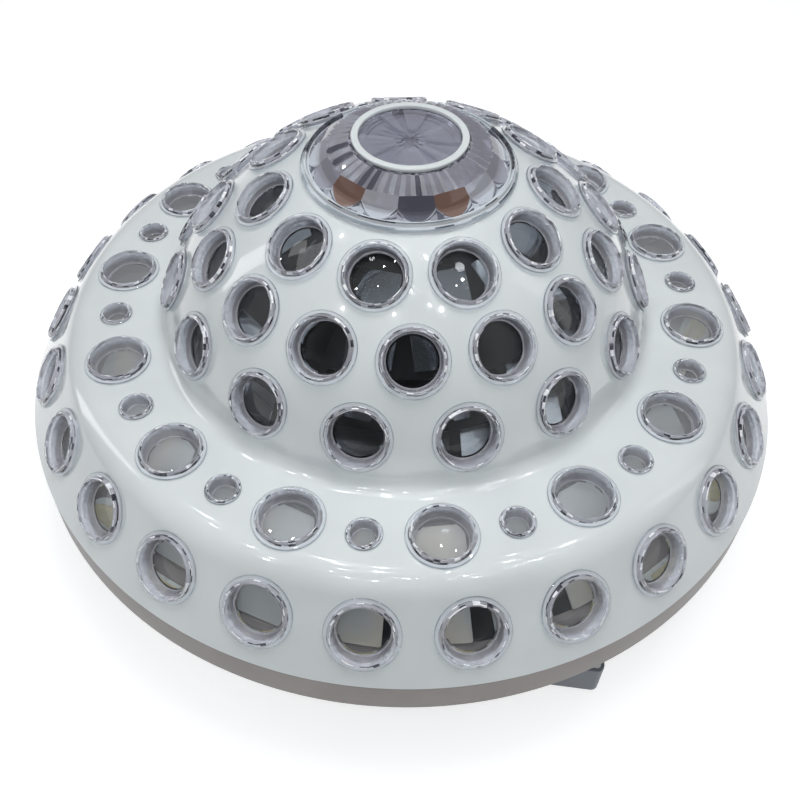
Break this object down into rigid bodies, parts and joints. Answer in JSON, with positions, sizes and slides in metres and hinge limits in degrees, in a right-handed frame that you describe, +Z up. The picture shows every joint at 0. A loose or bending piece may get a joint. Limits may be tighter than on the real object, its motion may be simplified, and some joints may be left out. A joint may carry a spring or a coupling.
{
  "type": "mushroom effect light",
  "caption": "Round white stage effect light with a stepped dome of clear lens cups, a cut crystal crown, a turning mirror basket and a tilting yoke.",
  "frame": {"origin": "on the floor under the middle of the light", "axes": "+Z up, -Y the front, the yoke folded out to +X and the control panel facing -X"},
  "size_m": [0.599, 0.599, 0.3126],
  "materials": {
    "white_gloss": "glossy cool white moulded plastic",
    "clear_plastic": "clear moulded plastic",
    "taupe_paint": "satin taupe paint",
    "white_paint": "satin white paint",
    "bare_steel": "zinc plated",
    "bare_aluminium": "plain extruded",
    "polished_aluminium": "polished",
    "bushing_brass": "turned",
    "mirrored_plastic": "vacuum metallised",
    "black_plastic": "fine texture",
    "black_rubber": "matte",
    "circuit_board": "white solder mask",
    "dark_glass": "smoked display window"
  },
  "bodies": {
    "base": {"dome_shell": "white_gloss", "skirt_lens_ring": "clear_plastic", "ledge_lens_ring": "clear_plastic", "lower_lens_ring": "clear_plastic", "middle_lens_ring": "clear_plastic", "upper_lens_ring": "clear_plastic", "crown_lens": "clear_plastic", "crown_ring": "white_gloss", "crown_window": "clear_plastic", "base_pan": "taupe_paint", "pan_screw_1": "bare_steel", "pan_screw_2": "bare_steel", "pan_screw_3": "bare_steel", "pan_screw_4": "bare_steel", "pan_screw_5": "bare_steel", "chassis_case": "white_paint", "front_left_foot": "black_rubber", "front_right_foot": "black_rubber", "rear_left_foot": "black_rubber", "rear_right_foot": "black_rubber", "front_friction_washer": "black_rubber", "front_lock_nut": "bare_steel", "rear_friction_washer": "black_rubber", "rear_lock_nut": "bare_steel", "safety_eye": "bare_steel", "control_panel": "black_plastic", "display_window": "dark_glass", "signal_in_socket": "black_plastic", "signal_out_socket": "black_plastic", "power_inlet": "black_plastic", "switch_housing": "black_plastic", "drive_motor": "bare_steel", "motor_bracket": "bare_steel", "shaft_bush": "bushing_brass", "heat_sink": "bare_aluminium", "led_board": "circuit_board", "collimator_plate": "clear_plastic", "outer_led_ring": "circuit_board", "outer_reflector": "polished_aluminium", "power_supply": "bare_aluminium", "control_board": "circuit_board", "fan_frame": "black_plastic"},
    "yoke": {"yoke": "white_paint"},
    "front_knob": {"front_clamp_knob": "black_plastic"},
    "rear_knob": {"rear_clamp_knob": "black_plastic"},
    "rotor": {"rotor_shaft": "bare_steel", "rotor_hub": "black_plastic", "mirror_basket": "mirrored_plastic"},
    "fan": {"fan_rotor": "black_plastic"},
    "mode_key": {"mode_button": "black_rubber"},
    "down_key": {"down_button": "black_rubber"},
    "up_key": {"up_button": "black_rubber"},
    "enter_key": {"enter_button": "black_rubber"},
    "rocker": {"switch_rocker": "black_plastic"}
  },
  "joints": [
    {"name": "yoke_tilt", "type": "hinge", "parent": "base", "child": "yoke", "pos_m": [0, 0, 0.036], "axis": [0, 1, 0], "range_deg": [0, 180]},
    {"name": "front_knob_turn", "type": "hinge", "parent": "base", "child": "front_knob", "pos_m": [0, -0.245, 0.036], "axis": [0, -1, 0], "range_deg": [0, 720]},
    {"name": "rear_knob_turn", "type": "hinge", "parent": "base", "child": "rear_knob", "pos_m": [0, 0.245, 0.036], "axis": [0, 1, 0], "range_deg": [0, 720]},
    {"name": "rotor_spin", "type": "hinge", "parent": "base", "child": "rotor", "pos_m": [0, 0, 0.12], "axis": [0, 0, 1], "continuous": true},
    {"name": "fan_spin", "type": "hinge", "parent": "base", "child": "fan", "pos_m": [0.06, 0.12, 0.02], "axis": [0, 0, 1], "continuous": true},
    {"name": "mode_press", "type": "slide", "parent": "base", "child": "mode_key", "axis": [1, 0, 0], "range_m": [0, 0.0015], "stiffness_N_per_m": 300},
    {"name": "down_press", "type": "slide", "parent": "base", "child": "down_key", "axis": [1, 0, 0], "range_m": [0, 0.0015], "stiffness_N_per_m": 300},
    {"name": "up_press", "type": "slide", "parent": "base", "child": "up_key", "axis": [1, 0, 0], "range_m": [0, 0.0015], "stiffness_N_per_m": 300},
    {"name": "enter_press", "type": "slide", "parent": "base", "child": "enter_key", "axis": [1, 0, 0], "range_m": [0, 0.0015], "stiffness_N_per_m": 300},
    {"name": "rocker_tip", "type": "hinge", "parent": "base", "child": "rocker", "pos_m": [-0.1626, -0.084, 0.039], "axis": [0, 0, 1], "range_deg": [-8, 8]}
  ]
}
